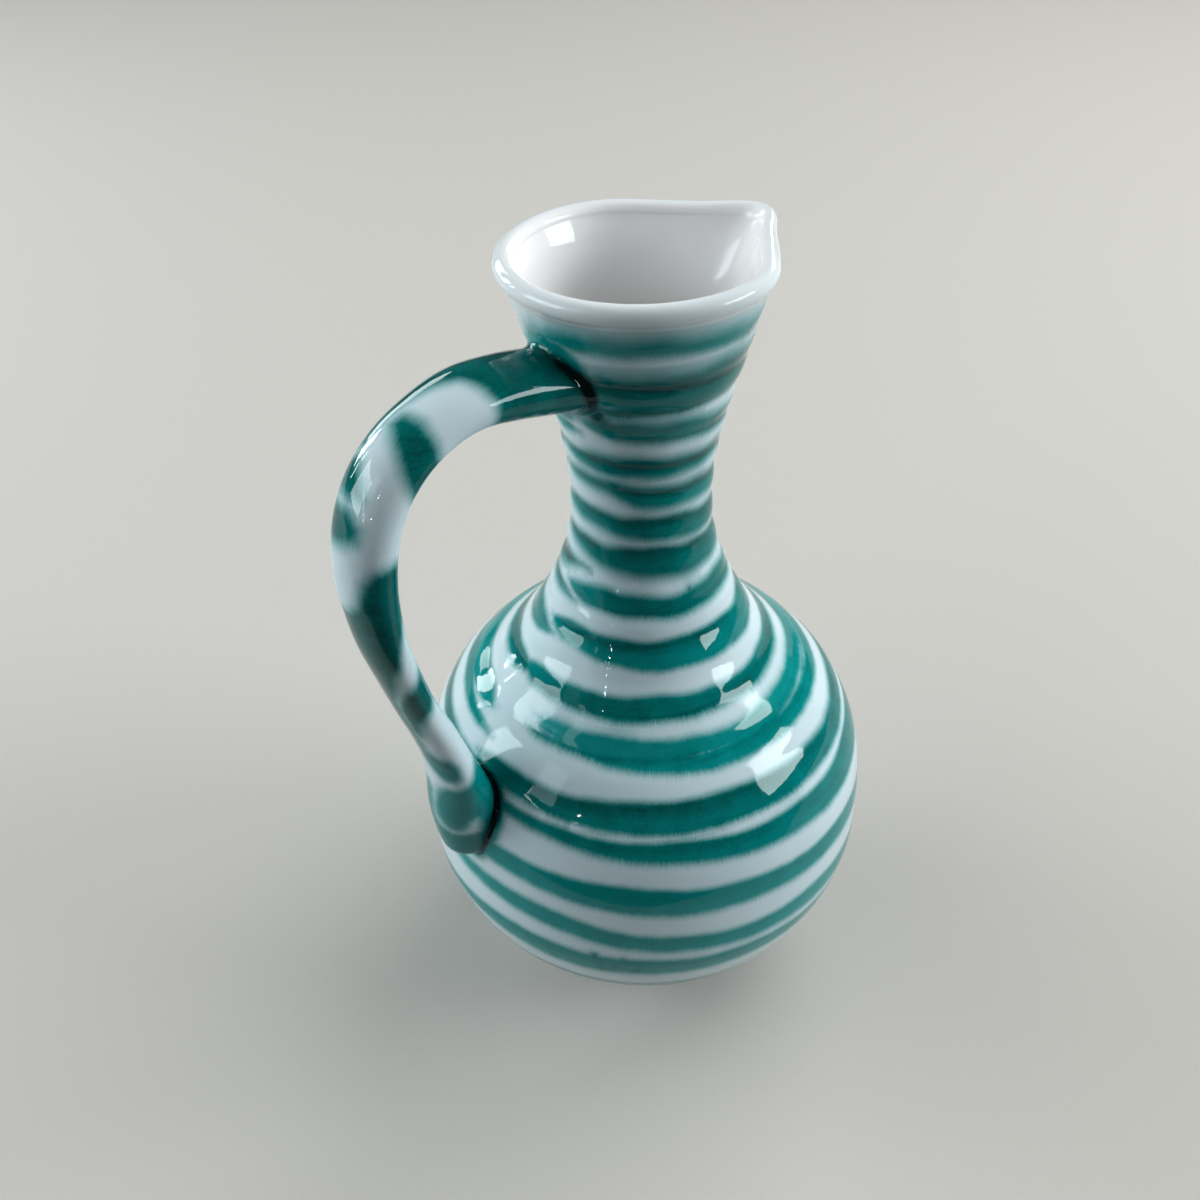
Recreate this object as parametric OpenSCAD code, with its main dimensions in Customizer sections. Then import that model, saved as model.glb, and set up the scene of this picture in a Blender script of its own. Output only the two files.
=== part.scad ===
// Ceramic jug with a flared mouth, a pinched spout and a pulled handle.
// Millimetres, +Z up, origin on the jug's axis at the table, spout towards +X, handle towards -X.

/* [Jug] */
// Height of the rim above the table, before the rim's lean
jug_height = 232; // [225:1:240]

/* [Foot] */
// Outer diameter of the turned foot ring
foot_diameter = 66; // [60:1:72]
// Height of the foot ring
foot_height = 4; // [3:0.5:6]
// Width of the foot ring, from its inner to its outer edge
foot_width = 6; // [5:0.5:9]

/* [Belly] */
// Diameter at the widest part of the belly
belly_diameter = 130; // [120:1:138]
// Height of the widest part, as a share of the jug's height
belly_level_share = 0.25; // [0.235:0.005:0.265]
// Thickness of the belly's wall
belly_wall = 5; // [4:0.25:6]
// Thickness of the floor
floor_thickness = 6; // [5:0.25:8]

/* [Neck] */
// Height where the neck is collared in above the shoulder, as a share of the jug's height
collar_level_share = 0.5; // [0.485:0.005:0.515]
// Outer diameter at the narrowest part of the neck
throat_diameter = 36.6; // [34:0.2:42]
// Height of the narrowest part of the neck, as a share of the jug's height
throat_level_share = 0.711; // [0.69:0.001:0.73]
// Thickness of the neck's wall
neck_wall = 3.6; // [3:0.1:4.5]

/* [Mouth and spout] */
// Height where the flared mouth starts on the neck, as a share of the jug's height
mouth_level_share = 0.845; // [0.82:0.005:0.855]
// Outer diameter of the round rim
rim_diameter = 68; // [64:0.2:72]
// Thickness of the rounded bead along the rim
bead_diameter = 4.8; // [4:0.1:5.6]
// Depth below the rim of the groove under the bead
groove_drop = 6; // [5.6:0.1:7]
// Depth of that groove, measured inwards from the rim's outer edge
groove_depth = 2.4; // [2:0.1:3.4]
// How far the spout's tip reaches out past the round rim
spout_reach = 7.1; // [4:0.1:9]
// How far the rim is pinched in on each side of the spout
pinch_depth = 2.3; // [0:0.1:3.5]
// How much wider the rim is across the spout than along it
rim_oval = 1.6; // [0:0.1:3]
// How far the rim leans up on its highest side
rim_lean = 1.6; // [0:0.1:2.5]

/* [Throwing rings] */
// Height of the rings left by the potter's fingers
ring_height = 0.5; // [0:0.05:0.8]
// Distance from one ring to the next
ring_pitch = 8; // [7:0.1:12]

/* [Handle] */
// Distance from the jug's axis to the handle's centre line where it stands out most
handle_reach = 81.6; // [78:0.2:90]
// Height of the handle's centre line at its highest point, as a share of the jug's height
handle_top_share = 0.9165; // [0.9:0.0005:0.922]
// Height of the handle's lower end on the belly, as a share of the jug's height
handle_foot_share = 0.3405; // [0.32:0.0005:0.36]
// Width of the handle across the grip
handle_width = 19; // [16:0.5:22]
// Thickness of the handle through the grip
handle_thickness = 12; // [10:0.25:13]

/* [Joints of the handle] */
// How far the slip spreads out round the handle where it meets the wall
slip_spread = 2.4; // [1.5:0.1:3]
// Thickness of the slip at its thin end
slip_edge = 0.4; // [0.3:0.05:0.6]

/* [Hidden] */

$fn = 96;
belly_steps = 76;
neck_steps = 60;
mouth_steps = 20;
bead_steps = 14;
mouth_sides = 108;
handle_stations = 64;
handle_sides = 28;
slip_stations = 9;

white_glaze = [0.86, 0.9, 0.9];
green_glaze = [0.03, 0.4, 0.37];
bare_clay = [0.8, 0.68, 0.56];

foot_r = foot_diameter / 2;
belly_r = belly_diameter / 2;
throat_r = throat_diameter / 2;
rim_r = rim_diameter / 2;
bead_r = bead_diameter / 2;
floor_level = foot_height + floor_thickness;
belly_level = jug_height * belly_level_share;
collar_level = jug_height * collar_level_share;
throat_level = jug_height * throat_level_share;
mouth_level = jug_height * mouth_level_share;
groove_level = jug_height - groove_drop;
groove_r = rim_r - groove_depth;
bead_level = jug_height - bead_r;
bead_centre_r = rim_r - bead_r;

// Where the bead's round section leaves the outer wall and meets the inner wall
bead_start_angle = -62;
bead_end_angle = 197;

// The outline between foot, belly, throat and groove, as shares of each stretch
low_height_shares = [0.07, 0.185, 0.37, 0.59, 0.82];
low_radius_shares = [0.14, 0.37, 0.635, 0.86, 0.98];
shoulder_height_shares = [0.12, 0.23, 0.35, 0.44, 0.52, 0.6, 0.71, 0.86];
shoulder_radius_shares = [0.015, 0.06, 0.19, 0.36, 0.56, 0.705, 0.84, 0.965];
flare_height_shares = [0.25, 0.5, 0.75];
flare_radius_shares = [0.08, 0.32, 0.655];

// The spout's place and width, the pinch's place and width, and where the rim leans up,
// in degrees round the rim
spout_turn = -2;
spout_spread = 14.7;
pinch_place = 43;
pinch_spread = 21.5;
lean_place = -117;

// The handle's centre line: how far out and how far down each point lies
top_out_shares = [-0.14, 0.046, 0.231, 0.416, 0.585, 0.75, 0.884, 0.968];
top_down_shares = [0.034, 0.016, 0.005, 0, 0.012, 0.044, 0.098, 0.172];
low_out_shares = [1, 0.99, 0.94, 0.83, 0.68, 0.5, 0.38, 0.295, 0.2, 0.08, -0.12];
low_down_shares = [0.252, 0.325, 0.4, 0.485, 0.58, 0.675, 0.753, 0.82, 0.888, 0.948, 1];
top_width_shares = [1.2, 1.13, 1.07, 1.03, 1, 1, 1, 1];
low_width_shares = [1, 0.98, 0.95, 0.92, 0.9, 0.92, 1, 1.12, 1.18, 1.1, 0.8];
top_thick_shares = [1.4, 1.3, 1.2, 1.08, 0.99, 1.01, 1.06, 1.08];
low_thick_shares = [1.02, 0.93, 0.87, 0.8, 0.78, 0.84, 0.92, 1.1, 1.42, 1.45, 1];
width_shares = concat(top_width_shares, low_width_shares);
thick_shares = concat(top_thick_shares, low_thick_shares);
// How strongly the last stations close to the rounded lower end
end_share = 0.06;
slope_share = 0.001;

function lerp(a, b, t) = a + (b - a) * t;
function clamp(t) = min(1, max(0, t));
function smooth(t) = clamp(t) * clamp(t) * (3 - 2 * clamp(t));
function between(a, b, heights, radii) =
    [for (i = [0 : len(heights) - 1]) [lerp(a[0], b[0], heights[i]), lerp(a[1], b[1], radii[i])]];

foot_point = [foot_height, foot_r];
belly_point = [belly_level, belly_r];
throat_point = [throat_level, throat_r];
groove_point = [groove_level, groove_r];
outline = concat(
    [foot_point],
    between(foot_point, belly_point, low_height_shares, low_radius_shares),
    [belly_point],
    between(belly_point, throat_point, shoulder_height_shares, shoulder_radius_shares),
    [throat_point],
    between(throat_point, groove_point, flare_height_shares, flare_radius_shares),
    [groove_point]);

// A smooth curve through the points [x, y] of a list
function gradient(p, i) =
    let (a = max(0, i - 1), b = min(len(p) - 1, i + 1))
    (p[b][1] - p[a][1]) / (p[b][0] - p[a][0]);
function segment(p, x, i = 0) = i >= len(p) - 2 || x < p[i + 1][0] ? i : segment(p, x, i + 1);
function curve(p, x) =
    let (
        i = segment(p, x),
        w = p[i + 1][0] - p[i][0],
        t = (x - p[i][0]) / w,
        u = 1 - t)
    p[i][1] * (1 + 2 * t) * u * u + p[i + 1][1] * (3 - 2 * t) * t * t
    + gradient(p, i) * w * t * u * u - gradient(p, i + 1) * w * t * t * u;

// The thrown wall: its plain outline, its rings and its inside
function plain_radius(z) = curve(outline, z);
function ring_strength(z) =
    smooth((z - belly_level) / (collar_level - belly_level)) * smooth((groove_level - z) / ring_pitch);
function outer_radius(z) =
    plain_radius(z) + ring_height * ring_strength(z) * cos(360 * (z - collar_level) / ring_pitch) / 2;
slope_step = jug_height * slope_share;
function lean(z) =
    (plain_radius(min(z + slope_step, groove_level)) - plain_radius(max(z - slope_step, foot_height)))
    / (min(z + slope_step, groove_level) - max(z - slope_step, foot_height));
function wall_at(z) = lerp(belly_wall, neck_wall, smooth((z - belly_level) / (collar_level - belly_level)));
function inner_radius(z) = plain_radius(z) - wall_at(z) * sqrt(1 + lean(z) * lean(z));

function levels(from, to, steps) = [for (i = [0 : steps]) lerp(from, to, i / steps)];
function outside(from, to, steps) = [for (z = levels(from, to, steps)) [outer_radius(z), z]];
function inside(from, to, steps) = [for (z = levels(from, to, steps)) [inner_radius(z), z]];

// The rim's outline: how far it moves out and up at this angle round the axis
function off_spout(angle) = let (a = angle - spout_turn) abs(a > 180 ? a - 360 : a);
function bell(angle, spread) = exp(-pow(angle / spread, 2));
function rim_shift(angle) =
    spout_reach * bell(off_spout(angle), spout_spread)
    - pinch_depth * bell(off_spout(angle) - pinch_place, pinch_spread)
    - rim_oval * cos(2 * off_spout(angle)) / 4;
function rim_rise(angle) = rim_lean * cos(angle - lean_place);
function shift_share(z) = pow(clamp((z - mouth_level) / (jug_height - mouth_level)), 2);

mouth_section = concat(
    outside(mouth_level, groove_level, mouth_steps),
    [for (i = [0 : bead_steps])
        let (a = lerp(bead_start_angle, bead_end_angle, i / bead_steps))
        [bead_centre_r + bead_r * cos(a), bead_level + bead_r * sin(a)]],
    inside(groove_level, mouth_level, mouth_steps));

// The handle's centre line and section
handle_top_level = jug_height * handle_top_share;
handle_foot_level = jug_height * handle_foot_share;
handle_drop = handle_top_level - handle_foot_level;
neck_start_r = outer_radius(handle_top_level);
belly_end_r = plain_radius(handle_foot_level + handle_thickness);
function route_point(out, down, wall_r) =
    [lerp(wall_r, handle_reach, out), handle_top_level - down * handle_drop];
route = concat(
    [for (i = [0 : len(top_out_shares) - 1]) route_point(top_out_shares[i], top_down_shares[i], neck_start_r)],
    [for (i = [0 : len(low_out_shares) - 1]) route_point(low_out_shares[i], low_down_shares[i], belly_end_r)]);

// A smooth value along a list, with t in steps of the list
function along(list, t) =
    let (
        n = len(list) - 1,
        i = min(n - 1, floor(t)),
        f = t - i,
        a = list[max(0, i - 1)],
        b = list[i],
        c = list[i + 1],
        d = list[min(n, i + 2)])
    b + f * ((c - a) + f * ((2 * a - 5 * b + 4 * c - d) + f * (3 * b - 3 * c + d - a))) / 2;

route_steps = len(route) - 1;
function station_t(k) = route_steps * k / handle_stations;
function forward(t) =
    let (d = along(route, min(route_steps, t + slope_share)) - along(route, max(0, t - slope_share)))
    d / norm(d);
function end_round(t) = sqrt(1 - pow(clamp(t - route_steps + 1), 2) * (1 - end_share));

// One ring of points round the handle, extra millimetres larger all round
function handle_ring(k, extra = 0) =
    let (
        t = station_t(k),
        p = along(route, t),
        d = forward(t),
        w = handle_width * along(width_shares, t) * end_round(t) / 2 + extra,
        h = handle_thickness * along(thick_shares, t) * end_round(t) / 2 + extra)
    [for (m = [0 : handle_sides - 1])
        let (a = 360 * m / handle_sides, y = w * cos(a), n = h * sin(a))
        [-p[0] - n * d[1], y, p[1] - n * d[0]]];

function flat(list) = [for (ring = list) each ring];
// The two triangles of each square between ring k and ring k + 1
function band(first, second, sides) = [
    for (m = [0 : sides - 1])
        let (a = first + m, b = first + (m + 1) % sides, c = second + (m + 1) % sides, d = second + m)
        each [[a, d, c], [a, c, b]]];

module thrown_body() {
    rotate_extrude()
        polygon(concat([[0, foot_height]], outside(foot_height, groove_level, belly_steps + neck_steps),
            [[0, groove_level]]));
}

module belly() {
    color(white_glaze)
        rotate_extrude()
            polygon(concat([[0, foot_height]], outside(foot_height, collar_level, belly_steps),
                inside(collar_level, floor_level, belly_steps), [[0, floor_level]]));
}

module neck() {
    color(white_glaze)
        rotate_extrude()
            polygon(concat(outside(collar_level, mouth_level, neck_steps),
                inside(mouth_level, collar_level, neck_steps)));
}

module mouth_and_spout() {
    n = len(mouth_section);
    color(white_glaze)
        polyhedron(
            points = flat([for (k = [0 : mouth_sides - 1])
                let (a = 360 * k / mouth_sides)
                [for (p = mouth_section)
                    let (s = shift_share(p[1]), r = p[0] + s * rim_shift(a))
                    [r * cos(a), r * sin(a), p[1] + s * rim_rise(a)]]]),
            faces = flat([for (k = [0 : mouth_sides - 1]) band(n * ((k + 1) % mouth_sides), n * k, n)]));
}

module foot_ring() {
    color(bare_clay)
        rotate_extrude()
            translate([foot_r - foot_width, 0])
                square([foot_width, foot_height]);
}

module handle_solid() {
    last = handle_sides * handle_stations;
    polyhedron(
        points = flat([for (k = [0 : handle_stations]) handle_ring(k)]),
        faces = concat(
            [[for (m = [0 : handle_sides - 1]) m]],
            flat([for (k = [0 : handle_stations - 1])
                band(handle_sides * k, handle_sides * (k + 1), handle_sides)]),
            [[for (m = [0 : handle_sides - 1]) last + handle_sides - 1 - m]]));
}

module handle() {
    color(white_glaze)
        difference() {
            handle_solid();
            thrown_body();
        }
}

// A collar of slip round the handle from ring wall_k, at the wall, to ring thin_k
module slip_collar(wall_k, thin_k) {
    n = slip_stations;
    way = thin_k > wall_k ? 1 : -1;
    function ring_k(i) = wall_k + (thin_k - wall_k) * i / n;
    function spread_at(i) = slip_edge + slip_spread * pow(1 - i / n, 2);
    inner = [for (i = [0 : n]) handle_ring(ring_k(i))];
    outer = [for (i = [0 : n]) handle_ring(ring_k(i), spread_at(i))];
    all_outer = handle_sides * (n + 1);
    polyhedron(
        points = flat(concat(inner, outer)),
        faces = way > 0 ? collar_faces(n, all_outer) : [for (f = collar_faces(n, all_outer)) [f[2], f[1], f[0]]]);
}

function collar_faces(n, shift) = concat(
    flat([for (i = [0 : n - 1]) band(shift + handle_sides * i, shift + handle_sides * (i + 1), handle_sides)]),
    flat([for (i = [0 : n - 1]) band(handle_sides * (i + 1), handle_sides * i, handle_sides)]),
    band(0, shift, handle_sides),
    band(shift + handle_sides * n, handle_sides * n, handle_sides));

module upper_joint() {
    color(green_glaze)
        difference() {
            slip_collar(0, slip_stations);
            thrown_body();
        }
}

module lower_joint() {
    color(green_glaze)
        difference() {
            slip_collar(handle_stations - 1, handle_stations - 1 - slip_stations);
            thrown_body();
        }
}

belly();
neck();
mouth_and_spout();
foot_ring();
handle();
upper_joint();
lower_joint();
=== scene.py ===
import math

import bpy
import numpy as np
from mathutils import Matrix


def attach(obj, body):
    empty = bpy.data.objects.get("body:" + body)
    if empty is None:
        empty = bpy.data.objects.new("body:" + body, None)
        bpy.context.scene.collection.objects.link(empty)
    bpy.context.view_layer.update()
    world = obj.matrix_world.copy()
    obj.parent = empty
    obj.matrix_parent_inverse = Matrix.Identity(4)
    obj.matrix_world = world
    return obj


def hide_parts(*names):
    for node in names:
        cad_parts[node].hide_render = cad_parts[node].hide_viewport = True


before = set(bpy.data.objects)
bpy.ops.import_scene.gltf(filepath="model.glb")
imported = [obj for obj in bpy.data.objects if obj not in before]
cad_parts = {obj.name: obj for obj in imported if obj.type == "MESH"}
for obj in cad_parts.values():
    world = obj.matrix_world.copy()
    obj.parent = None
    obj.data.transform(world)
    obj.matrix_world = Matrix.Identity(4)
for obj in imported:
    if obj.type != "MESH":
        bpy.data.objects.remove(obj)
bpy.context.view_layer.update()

MM = 0.001

# Sizes in mm. They are the part's own, but for the handle's lower end, its widths and the slip, which
# were fitted to the photo later: the handle's foot lies up to 5 mm from the solid's, its root 1 to 2 mm.
JUG_HEIGHT = 232.0
FOOT_R, FOOT_HEIGHT, FOOT_WIDTH = 33.0, 4.0, 6.0
BELLY_R, BELLY_LEVEL, BELLY_WALL, FLOOR_THICKNESS = 65.0, 58.0, 5.0, 6.0
COLLAR_LEVEL, THROAT_R, THROAT_LEVEL, NECK_WALL = 116.0, 18.3, 164.952, 3.6
MOUTH_LEVEL, RIM_R, BEAD_R = 196.04, 34.0, 2.4
GROOVE_LEVEL, GROOVE_R = 226.0, 31.6
BEAD_START, BEAD_END = -62.0, 197.0
SPOUT_TURN, SPOUT_REACH, SPOUT_SPREAD = -2.0, 7.1, 14.7
PINCH_PLACE, PINCH_DEPTH, PINCH_SPREAD = 43.0, 2.3, 21.5
RIM_OVAL, RIM_LEAN, LEAN_PLACE = 1.6, 1.6, -117.0
HANDLE_REACH, HANDLE_TOP, HANDLE_FOOT = 81.6, 212.628, 78.996
HANDLE_WIDTH, HANDLE_THICKNESS = 19.0, 12.0

# The wall's outline between its named levels, as shares of the way up and of the way out or in
LOW_H = [0.07, 0.185, 0.37, 0.59, 0.82]
LOW_R = [0.14, 0.37, 0.635, 0.86, 0.98]
SHOULDER_H = [0.12, 0.23, 0.35, 0.44, 0.52, 0.6, 0.71, 0.86]
SHOULDER_R = [0.015, 0.06, 0.19, 0.36, 0.56, 0.705, 0.84, 0.965]
FLARE_H = [0.25, 0.5, 0.75]
FLARE_R = [0.08, 0.32, 0.655]
# The handle's centre line, as shares of the way out from the wall and of the way down
TOP_OUT = [-0.14, 0.046, 0.231, 0.416, 0.585, 0.75, 0.884, 0.968]
TOP_DOWN = [0.048, 0.028, 0.010, 0, 0.012, 0.044, 0.098, 0.172]
LOW_OUT = [1, 0.99, 0.94, 0.83, 0.68, 0.5, 0.38, 0.295, 0.225, 0.155, 0.075]
LOW_DOWN = [0.252, 0.325, 0.4, 0.485, 0.58, 0.675, 0.753, 0.82, 0.893, 0.966, 1.042]
# Its width and thickness at each of these points, as shares of HANDLE_WIDTH and HANDLE_THICKNESS
WIDTHS = [1.12, 1.08, 1.05, 1.03, 1, 1, 1, 1, 1, 0.98, 0.95, 0.92, 0.9, 0.92, 0.98, 1.06, 1.08, 1.0, 0.86]
THICKS = [1.22, 1.2, 1.17, 1.08, 0.99, 1.01, 1.06, 1.08, 1.02, 0.93, 0.87, 0.8, 0.78, 0.84, 0.92, 1.14,
          1.42, 1.5, 1.5]

# Places round the jug are given as front angles, seen from the photo's side: 0 faces the camera, the
# handle stands at -49 and the spout at 131. In the part's frame 0 lies at this azimuth.
FRONT = -131.0


def lerp(a, b, t):
    return a + (b - a) * t


def smooth(t):
    t = np.clip(t, 0, 1)
    return t * t * (3 - 2 * t)


def wrap(a):
    """Degrees brought to -180 ... 180."""
    return (np.asarray(a, float) + 180) % 360 - 180


def bell(a, spread):
    return np.exp(-(a / spread) ** 2)


def curve(x, places, values, slopes):
    """A smooth line through values at these places, with these slopes there."""
    i = np.clip(np.searchsorted(places, x, side="right") - 1, 0, len(places) - 2)
    w = places[i + 1] - places[i]
    t = (x - places[i]) / w
    u = 1 - t
    return (values[i] * (1 + 2 * t) * u * u + values[i + 1] * (3 - 2 * t) * t * t
            + slopes[i] * w * t * u * u - slopes[i + 1] * w * t * t * u)


def make_outline():
    """Height and radius of each point of the wall's outline, from the foot up to the bead's groove."""
    points = [(FOOT_HEIGHT, FOOT_R)]
    stretches = (
        ((BELLY_LEVEL, BELLY_R), LOW_H, LOW_R),
        ((THROAT_LEVEL, THROAT_R), SHOULDER_H, SHOULDER_R),
        ((GROOVE_LEVEL, GROOVE_R), FLARE_H, FLARE_R),
    )
    for end, heights, radii in stretches:
        start = points[-1]
        points += [(lerp(start[0], end[0], h), lerp(start[1], end[1], r))
                   for h, r in zip(heights, radii)]
        points.append(end)
    return np.array(points)


OUTLINE = make_outline()
LAST = len(OUTLINE) - 1
SLOPES = np.array([
    (OUTLINE[min(LAST, i + 1), 1] - OUTLINE[max(0, i - 1), 1])
    / (OUTLINE[min(LAST, i + 1), 0] - OUTLINE[max(0, i - 1), 0])
    for i in range(LAST + 1)
])


def plain_radius(z):
    """The wall's outer radius without its grooves."""
    z = np.clip(np.asarray(z, float), FOOT_HEIGHT, GROOVE_LEVEL)
    return curve(z, OUTLINE[:, 0], OUTLINE[:, 1], SLOPES)


def lean(z):
    """How fast the wall widens with height."""
    step = 0.25
    return (plain_radius(z + step) - plain_radius(z - step)) / (2 * step)


# Height of each finger groove, how deep it is and how wide, all in mm
GROOVES = [
    (218.6, 0.40, 2.0), (210.6, 0.55, 2.0), (202.2, 0.55, 2.1), (193.6, 0.50, 2.2), (185.1, 0.55, 2.2),
    (176.4, 0.60, 2.3), (167.4, 0.60, 2.4), (157.6, 0.60, 2.5), (148.2, 0.60, 2.4), (140.6, 0.55, 2.2),
    (133.0, 0.75, 2.6), (124.6, 0.45, 2.4), (117.2, 0.60, 2.5), (109.6, 0.85, 2.0), (101.0, 0.35, 2.6),
    (92.0, 0.25, 2.8), (82.5, 0.15, 3.0),
]


# How far the grooves wander up and down on their way round, in mm: in one wave, in two waves, and what
# evens out the first. The twists are in radians per mm.
DRIFT_ONCE, DRIFT_TWICE, DRIFT_EVEN = 0.9, 0.45, 0.5
TWIST_ONCE, TWIST_TWICE = 0.05, 0.13
# How square a groove is, by what share its depth changes, how far the wall stands out between the
# grooves, and over how many mm the grooves die out under the bead
GROOVE_SQUARE, GROOVE_CHANGE = 1.7, 0.25
RIDGE_MEAN, GROOVES_END = 0.25, 5


def groove_drift(front, z):
    """How far up the grooves lie at this front angle and height."""
    a = np.radians(front)
    return (DRIFT_ONCE * np.sin(a + TWIST_ONCE * z) + DRIFT_TWICE * np.sin(2 * a + TWIST_TWICE * z)
            - DRIFT_EVEN * np.sin(a))


def grooves(z, front):
    """How far the wall dips in, and how near the middle of a groove it is, from 0 to 1."""
    z = z - groove_drift(front, z)
    dip = np.zeros(np.broadcast(z, front).shape)
    share = np.zeros_like(dip)
    for level, depth, width in GROOVES:
        near = np.exp(-np.abs((z - level) / width) ** GROOVE_SQUARE)
        wave = 1 + GROOVE_CHANGE * np.sin(np.radians(front) + level)
        dip = dip + depth * wave * near
        share = np.maximum(share, near)
    return dip, share


def outer_radius(z, front):
    """The wall's outer radius with its grooves, which start above the belly's widest level."""
    strength = (smooth((z - BELLY_LEVEL) / (COLLAR_LEVEL - BELLY_LEVEL))
                * smooth((GROOVE_LEVEL - z) / GROOVES_END))
    dip, _ = grooves(z, front)
    return plain_radius(z) + strength * (RIDGE_MEAN - dip)


def wall_at(z):
    """The wall's thickness at this height."""
    return lerp(BELLY_WALL, NECK_WALL, smooth((z - BELLY_LEVEL) / (COLLAR_LEVEL - BELLY_LEVEL)))


def inner_radius(z):
    return plain_radius(z) - wall_at(z) * np.sqrt(1 + lean(z) ** 2)


def rim_move(azimuth):
    """How far the rim moves out and up at this azimuth."""
    a = np.abs(wrap(azimuth - SPOUT_TURN))
    out = (SPOUT_REACH * bell(a, SPOUT_SPREAD) - PINCH_DEPTH * bell(a - PINCH_PLACE, PINCH_SPREAD)
           - RIM_OVAL * np.cos(np.radians(2 * a)) / 4)
    up = RIM_LEAN * np.cos(np.radians(azimuth - LEAN_PLACE))
    return out, up


def shift_share(z):
    """How much of the rim's move the wall takes part in at this height."""
    return np.clip((z - MOUTH_LEVEL) / (JUG_HEIGHT - MOUTH_LEVEL), 0, 1) ** 2


# The wall's mesh: points round it, rows over the bead, and the steps in mm between the other rows
COLUMNS, BEAD_ROWS = 360, 26
STEP_OUTSIDE, STEP_IN_NECK, STEP_IN_BELLY = 1.0, 2.0, 2.5
# The sides of the wall
OUTSIDE, BEAD, INSIDE = 1, 0, -1
FLOOR_LEVEL = FOOT_HEIGHT + FLOOR_THICKNESS
# The floor inside: the height and width of its rounded corner, how high its middle rises, and the
# shares of the way at which the rows of both lie
CORNER_HEIGHT, CORNER_WIDTH, FLOOR_RISE = 2, 7, 0.5
CORNER_SHARES, FLOOR_SHARES = (0.25, 0.5, 0.75, 1.0), (0.8, 0.55, 0.3, 0.1)


def wall_rows():
    """Radius or None, height and side of each row of the wall: up, over the rim and down inside."""
    rows = [(None, z, OUTSIDE) for z in np.arange(FOOT_HEIGHT, GROOVE_LEVEL + 0.01, STEP_OUTSIDE)]
    centre_r, centre_z = RIM_R - BEAD_R, JUG_HEIGHT - BEAD_R
    for a in np.radians(np.linspace(BEAD_START, BEAD_END, BEAD_ROWS)):
        rows.append((centre_r + BEAD_R * math.cos(a), centre_z + BEAD_R * math.sin(a), BEAD))
    rows += [(None, z, INSIDE) for z in np.arange(GROOVE_LEVEL, COLLAR_LEVEL, -STEP_IN_NECK)]
    corner = FLOOR_LEVEL + CORNER_HEIGHT
    rows += [(None, z, INSIDE) for z in np.arange(COLLAR_LEVEL, corner, -STEP_IN_BELLY)]
    return rows


def build_wall():
    """The whole wall as rows of points, each row's side and level, and each column's front angle."""
    az = np.arange(COLUMNS) * 360.0 / COLUMNS
    front = wrap(az - FRONT)
    c, n = np.cos(np.radians(az)), np.sin(np.radians(az))
    out, up = rim_move(az)
    points, kinds, levels = [], [], []

    def add_row(r, z, side, level):
        points.append(np.stack([r * c, r * n, np.broadcast_to(z, COLUMNS)], -1))
        kinds.append(side)
        levels.append(level)

    for radius, z, side in wall_rows():
        if side == OUTSIDE:
            r = outer_radius(np.full(COLUMNS, z), front)
        elif side == INSIDE:
            r = float(inner_radius(z))
        else:
            r = radius
        s = shift_share(z)
        add_row(r + s * out, z + s * up, side, z)
    level = levels[-1]
    last = float(inner_radius(level))
    for t in CORNER_SHARES:
        # from the row before, which rounds the corner
        level = lerp(level, FLOOR_LEVEL, 1 - (1 - t) ** 2)
        add_row(last - CORNER_WIDTH * t, level, INSIDE, level)
    for t in FLOOR_SHARES:
        add_row((last - CORNER_WIDTH) * t, FLOOR_LEVEL + FLOOR_RISE * (1 - t) ** 2, INSIDE, FLOOR_LEVEL)
    return np.array(points), np.array(kinds), np.array(levels), front


WALL, KINDS, LEVELS, WALL_FRONT = build_wall()


def grid_normals(grid):
    """Unit normals of a grid of points whose columns close round."""
    down = np.gradient(grid, axis=0)
    across = np.roll(grid, -1, axis=1) - np.roll(grid, 1, axis=1)
    n = np.cross(across, down)
    return n / np.maximum(np.linalg.norm(n, axis=-1, keepdims=True), 1e-12)


WALL_NORMALS = grid_normals(WALL)

# The handle's route is measured from this far outside the neck, and from the belly's own radius
NECK_LIFT = 0.2
NECK_START = float(plain_radius(HANDLE_TOP)) + NECK_LIFT
BELLY_END = float(plain_radius(HANDLE_FOOT + HANDLE_THICKNESS))
# The handle's centre line, as distance from the jug's axis and height
ROUTE = np.array([
    (lerp(start, HANDLE_REACH, o), HANDLE_TOP - d * (HANDLE_TOP - HANDLE_FOOT))
    for start, outs, downs in ((NECK_START, TOP_OUT, TOP_DOWN), (BELLY_END, LOW_OUT, LOW_DOWN))
    for o, d in zip(outs, downs)])
STEPS = len(ROUTE) - 1
# By how much the handle's tail closes over its last route step, and how late
TAIL_CLOSE, TAIL_BEND = 0.94, 5
# The lower end was pressed on to the left of the handle's plane: so far, from this route place on and
# over so many steps
FOOT_ASIDE, ASIDE_START, ASIDE_RUN = 2.8, 14, 3.5


def along(values, t):
    """The value at route place t on a smooth curve through these values."""
    values = np.asarray(values, float)
    n = len(values) - 1
    i = np.minimum(n - 1, np.floor(t).astype(int))
    f = t - i
    if values.ndim == 2:
        f = f[..., None]
    a, b, c, d = values[np.maximum(0, i - 1)], values[i], values[i + 1], values[np.minimum(n, i + 2)]
    return b + f * ((c - a) + f * ((2 * a - 5 * b + 4 * c - d) + f * (3 * b - 3 * c + d - a))) / 2


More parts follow.
